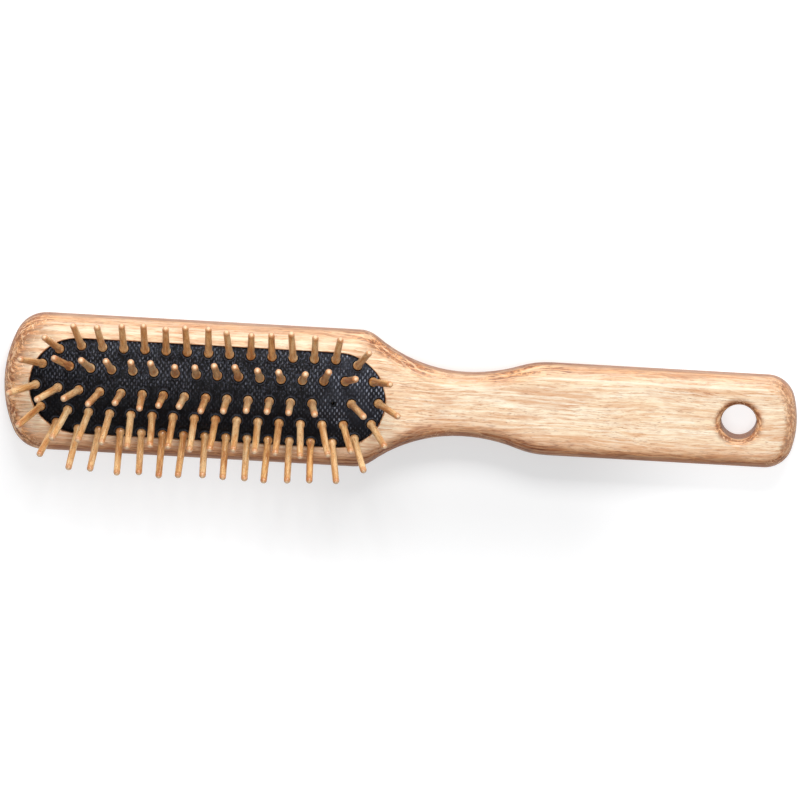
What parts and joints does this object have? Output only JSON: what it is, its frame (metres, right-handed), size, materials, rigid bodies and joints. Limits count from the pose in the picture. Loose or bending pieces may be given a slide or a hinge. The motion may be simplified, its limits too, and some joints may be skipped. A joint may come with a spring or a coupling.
{
  "type": "hairbrush",
  "caption": "Slim wooden hairbrush: a long rounded head holds a domed textile-faced air cushion of turned wooden pins, and a narrow neck leads to a flat handle with a hanging hole.",
  "frame": {"origin": "centre of the cushion opening, projected on the flat back face of the board", "axes": "+X along the brush towards the handle end, +Y across the board, +Z out of the pin side"},
  "size_m": [0.225, 0.0446, 0.0324],
  "materials": {
    "board_wood": "fine sanded, oiled",
    "pin_wood": "polished",
    "textile": "fine woven, matt",
    "rubber": "matt"
  },
  "bodies": {
    "wooden_body": {"wooden_body": "board_wood"},
    "cushion": {"rubber_cushion": "rubber", "fabric_facing": "textile"},
    "pins_outer_left_1": {"pins_outer_left_1": "pin_wood"},
    "pins_outer_left_2": {"pins_outer_left_2": "pin_wood"},
    "pins_outer_left_3": {"pins_outer_left_3": "pin_wood"},
    "pins_outer_left_4": {"pins_outer_left_4": "pin_wood"},
    "pins_outer_left_5": {"pins_outer_left_5": "pin_wood"},
    "pins_inner_left_1": {"pins_inner_left_1": "pin_wood"},
    "pins_inner_left_2": {"pins_inner_left_2": "pin_wood"},
    "pins_inner_left_3": {"pins_inner_left_3": "pin_wood"},
    "pins_inner_left_4": {"pins_inner_left_4": "pin_wood"},
    "pins_inner_left_5": {"pins_inner_left_5": "pin_wood"},
    "pins_middle_1": {"pins_middle_1": "pin_wood"},
    "pins_middle_2": {"pins_middle_2": "pin_wood"},
    "pins_middle_3": {"pins_middle_3": "pin_wood"},
    "pins_middle_4": {"pins_middle_4": "pin_wood"},
    "pins_middle_5": {"pins_middle_5": "pin_wood"},
    "pins_inner_right_1": {"pins_inner_right_1": "pin_wood"},
    "pins_inner_right_2": {"pins_inner_right_2": "pin_wood"},
    "pins_inner_right_3": {"pins_inner_right_3": "pin_wood"},
    "pins_inner_right_4": {"pins_inner_right_4": "pin_wood"},
    "pins_inner_right_5": {"pins_inner_right_5": "pin_wood"},
    "pins_outer_right_1": {"pins_outer_right_1": "pin_wood"},
    "pins_outer_right_2": {"pins_outer_right_2": "pin_wood"},
    "pins_outer_right_3": {"pins_outer_right_3": "pin_wood"},
    "pins_outer_right_4": {"pins_outer_right_4": "pin_wood"},
    "pins_outer_right_5": {"pins_outer_right_5": "pin_wood"},
    "pin_past_vent": {"pin_past_vent": "pin_wood"},
    "pin_head_end_1": {"pin_head_end_1": "pin_wood"},
    "pin_head_end_2": {"pin_head_end_2": "pin_wood"},
    "pin_head_end_3": {"pin_head_end_3": "pin_wood"},
    "pin_head_end_4": {"pin_head_end_4": "pin_wood"},
    "pin_head_end_5": {"pin_head_end_5": "pin_wood"},
    "pin_neck_end_1": {"pin_neck_end_1": "pin_wood"},
    "pin_neck_end_2": {"pin_neck_end_2": "pin_wood"},
    "pin_neck_end_3": {"pin_neck_end_3": "pin_wood"},
    "pin_neck_end_4": {"pin_neck_end_4": "pin_wood"},
    "pin_neck_end_5": {"pin_neck_end_5": "pin_wood"}
  },
  "joints": [
    {"name": "cushion_press", "type": "slide", "parent": "wooden_body", "child": "cushion", "axis": [0, 0, -1], "range_m": [0, 0.0012], "stiffness_N_per_m": 1000, "deforming": ["rubber_cushion", "fabric_facing"]},
    {"name": "rock_pins_outer_left_1", "type": "hinge", "parent": "cushion", "child": "pins_outer_left_1", "pos_m": [-0.033, 0.01175, 0.01098], "axis": [-0.9943, 0, -0.1069], "range_deg": [-10, 10], "stiffness_Nm_per_rad": 0.0008},
    {"name": "rock_pins_outer_left_2", "type": "hinge", "parent": "cushion", "child": "pins_outer_left_2", "pos_m": [-0.018, 0.01175, 0.01158], "axis": [-1, 0, -0.001], "range_deg": [-10, 10], "stiffness_Nm_per_rad": 0.0012},
    {"name": "rock_pins_outer_left_3", "type": "hinge", "parent": "cushion", "child": "pins_outer_left_3", "pos_m": [0, 0.01175, 0.01159], "axis": [-1, 0, 0], "range_deg": [-10, 10], "stiffness_Nm_per_rad": 0.0012},
    {"name": "rock_pins_outer_left_4", "type": "hinge", "parent": "cushion", "child": "pins_outer_left_4", "pos_m": [0.018, 0.01175, 0.01158], "axis": [-1, 0, 0.001], "range_deg": [-10, 10], "stiffness_Nm_per_rad": 0.0012},
    {"name": "rock_pins_outer_left_5", "type": "hinge", "parent": "cushion", "child": "pins_outer_left_5", "pos_m": [0.033, 0.01175, 0.01098], "axis": [-0.9943, 0, 0.1069], "range_deg": [-10, 10], "stiffness_Nm_per_rad": 0.0008},
    {"name": "rock_pins_inner_left_1", "type": "hinge", "parent": "cushion", "child": "pins_inner_left_1", "pos_m": [-0.036, 0.0062, 0.01331], "axis": [-0.9814, 0, -0.192], "range_deg": [-10, 10], "stiffness_Nm_per_rad": 0.0008},
    {"name": "rock_pins_inner_left_2", "type": "hinge", "parent": "cushion", "child": "pins_inner_left_2", "pos_m": [-0.021, 0.0062, 0.01465], "axis": [-0.9999, 0, -0.0122], "range_deg": [-10, 10], "stiffness_Nm_per_rad": 0.0012},
    {"name": "rock_pins_inner_left_3", "type": "hinge", "parent": "cushion", "child": "pins_inner_left_3", "pos_m": [0, 0.0062, 0.0147], "axis": [-1, 0, 0], "range_deg": [-10, 10], "stiffness_Nm_per_rad": 0.0016},
    {"name": "rock_pins_inner_left_4", "type": "hinge", "parent": "cushion", "child": "pins_inner_left_4", "pos_m": [0.021, 0.0062, 0.01465], "axis": [-0.9999, 0, 0.0122], "range_deg": [-10, 10], "stiffness_Nm_per_rad": 0.0012},
    {"name": "rock_pins_inner_left_5", "type": "hinge", "parent": "cushion", "child": "pins_inner_left_5", "pos_m": [0.036, 0.0062, 0.01331], "axis": [-0.9814, 0, 0.192], "range_deg": [-10, 10], "stiffness_Nm_per_rad": 0.0008},
    {"name": "rock_pins_middle_1", "type": "hinge", "parent": "cushion", "child": "pins_middle_1", "pos_m": [-0.039, 0, 0.01363], "axis": [0.9664, 0, 0.2572], "range_deg": [-10, 10], "stiffness_Nm_per_rad": 0.0008},
    {"name": "rock_pins_middle_2", "type": "hinge", "parent": "cushion", "child": "pins_middle_2", "pos_m": [-0.024, 0, 0.01574], "axis": [0.9993, 0, 0.0378], "range_deg": [-10, 10], "stiffness_Nm_per_rad": 0.0012},
    {"name": "rock_pins_middle_3", "type": "hinge", "parent": "cushion", "child": "pins_middle_3", "pos_m": [-0.006, 0, 0.0159], "axis": [1, 0, 0], "range_deg": [-10, 10], "stiffness_Nm_per_rad": 0.0012},
    {"name": "rock_pins_middle_4", "type": "hinge", "parent": "cushion", "child": "pins_middle_4", "pos_m": [0.012, 0, 0.0159], "axis": [1, 0, 0], "range_deg": [-10, 10], "stiffness_Nm_per_rad": 0.0012},
    {"name": "rock_pins_middle_5", "type": "hinge", "parent": "cushion", "child": "pins_middle_5", "pos_m": [0.027, 0, 0.01566], "axis": [0.9974, 0, -0.0724], "range_deg": [-10, 10], "stiffness_Nm_per_rad": 0.0008},
    {"name": "rock_pins_inner_right_1", "type": "hinge", "parent": "cushion", "child": "pins_inner_right_1", "pos_m": [-0.036, -0.0062, 0.01331], "axis": [0.9814, 0, 0.192], "range_deg": [-10, 10], "stiffness_Nm_per_rad": 0.0008},
    {"name": "rock_pins_inner_right_2", "type": "hinge", "parent": "cushion", "child": "pins_inner_right_2", "pos_m": [-0.021, -0.0062, 0.01465], "axis": [0.9999, 0, 0.0122], "range_deg": [-10, 10], "stiffness_Nm_per_rad": 0.0012},
    {"name": "rock_pins_inner_right_3", "type": "hinge", "parent": "cushion", "child": "pins_inner_right_3", "pos_m": [0, -0.0062, 0.0147], "axis": [1, 0, 0], "range_deg": [-10, 10], "stiffness_Nm_per_rad": 0.0016},
    {"name": "rock_pins_inner_right_4", "type": "hinge", "parent": "cushion", "child": "pins_inner_right_4", "pos_m": [0.021, -0.0062, 0.01465], "axis": [0.9999, 0, -0.0122], "range_deg": [-10, 10], "stiffness_Nm_per_rad": 0.0012},
    {"name": "rock_pins_inner_right_5", "type": "hinge", "parent": "cushion", "child": "pins_inner_right_5", "pos_m": [0.036, -0.0062, 0.01331], "axis": [0.9814, 0, -0.192], "range_deg": [-10, 10], "stiffness_Nm_per_rad": 0.0008},
    {"name": "rock_pins_outer_right_1", "type": "hinge", "parent": "cushion", "child": "pins_outer_right_1", "pos_m": [-0.033, -0.01175, 0.01098], "axis": [0.9943, 0, 0.1069], "range_deg": [-10, 10], "stiffness_Nm_per_rad": 0.0008},
    {"name": "rock_pins_outer_right_2", "type": "hinge", "parent": "cushion", "child": "pins_outer_right_2", "pos_m": [-0.018, -0.01175, 0.01158], "axis": [1, 0, 0.001], "range_deg": [-10, 10], "stiffness_Nm_per_rad": 0.0012},
    {"name": "rock_pins_outer_right_3", "type": "hinge", "parent": "cushion", "child": "pins_outer_right_3", "pos_m": [0, -0.01175, 0.01159], "axis": [1, 0, 0], "range_deg": [-10, 10], "stiffness_Nm_per_rad": 0.0012},
    {"name": "rock_pins_outer_right_4", "type": "hinge", "parent": "cushion", "child": "pins_outer_right_4", "pos_m": [0.018, -0.01175, 0.01158], "axis": [1, 0, -0.001], "range_deg": [-10, 10], "stiffness_Nm_per_rad": 0.0012},
    {"name": "rock_pins_outer_right_5", "type": "hinge", "parent": "cushion", "child": "pins_outer_right_5", "pos_m": [0.033, -0.01175, 0.01098], "axis": [0.9943, 0, -0.1069], "range_deg": [-10, 10], "stiffness_Nm_per_rad": 0.0008},
    {"name": "rock_pin_past_vent", "type": "hinge", "parent": "cushion", "child": "pin_past_vent", "pos_m": [0.041, 0, 0.01314], "axis": [1, 0, 0], "range_deg": [-10, 10], "stiffness_Nm_per_rad": 0.0004},
    {"name": "rock_pin_head_end_1", "type": "hinge", "parent": "cushion", "child": "pin_head_end_1", "pos_m": [-0.04218, 0.01042, 0.01028], "axis": [-0.887, -0.4617, 0], "range_deg": [-10, 10], "stiffness_Nm_per_rad": 0.0004},
    {"name": "rock_pin_head_end_2", "type": "hinge", "parent": "cushion", "child": "pin_head_end_2", "pos_m": [-0.0468, 0.0061, 0.01045], "axis": [-0.5188, -0.8549, 0], "range_deg": [-10, 10], "stiffness_Nm_per_rad": 0.0004},
    {"name": "rock_pin_head_end_3", "type": "hinge", "parent": "cushion", "child": "pin_head_end_3", "pos_m": [-0.0485, 0, 0.01045], "axis": [0, -1, 0], "range_deg": [-10, 10], "stiffness_Nm_per_rad": 0.0004},
    {"name": "rock_pin_head_end_4", "type": "hinge", "parent": "cushion", "child": "pin_head_end_4", "pos_m": [-0.0468, -0.0061, 0.01045], "axis": [0.5188, -0.8549, 0], "range_deg": [-10, 10], "stiffness_Nm_per_rad": 0.0004},
    {"name": "rock_pin_head_end_5", "type": "hinge", "parent": "cushion", "child": "pin_head_end_5", "pos_m": [-0.04218, -0.01042, 0.01028], "axis": [0.887, -0.4617, 0], "range_deg": [-10, 10], "stiffness_Nm_per_rad": 0.0004},
    {"name": "rock_pin_neck_end_1", "type": "hinge", "parent": "cushion", "child": "pin_neck_end_1", "pos_m": [0.04218, 0.01042, 0.01028], "axis": [-0.887, 0.4617, 0], "range_deg": [-10, 10], "stiffness_Nm_per_rad": 0.0004},
    {"name": "rock_pin_neck_end_2", "type": "hinge", "parent": "cushion", "child": "pin_neck_end_2", "pos_m": [0.0468, 0.0061, 0.01045], "axis": [-0.5188, 0.8549, 0], "range_deg": [-10, 10], "stiffness_Nm_per_rad": 0.0004},
    {"name": "rock_pin_neck_end_3", "type": "hinge", "parent": "cushion", "child": "pin_neck_end_3", "pos_m": [0.0485, 0, 0.01045], "axis": [0, 1, 0], "range_deg": [-10, 10], "stiffness_Nm_per_rad": 0.0004},
    {"name": "rock_pin_neck_end_4", "type": "hinge", "parent": "cushion", "child": "pin_neck_end_4", "pos_m": [0.0468, -0.0061, 0.01045], "axis": [0.5188, 0.8549, 0], "range_deg": [-10, 10], "stiffness_Nm_per_rad": 0.0004},
    {"name": "rock_pin_neck_end_5", "type": "hinge", "parent": "cushion", "child": "pin_neck_end_5", "pos_m": [0.04218, -0.01042, 0.01028], "axis": [0.887, 0.4617, 0], "range_deg": [-10, 10], "stiffness_Nm_per_rad": 0.0004}
  ]
}
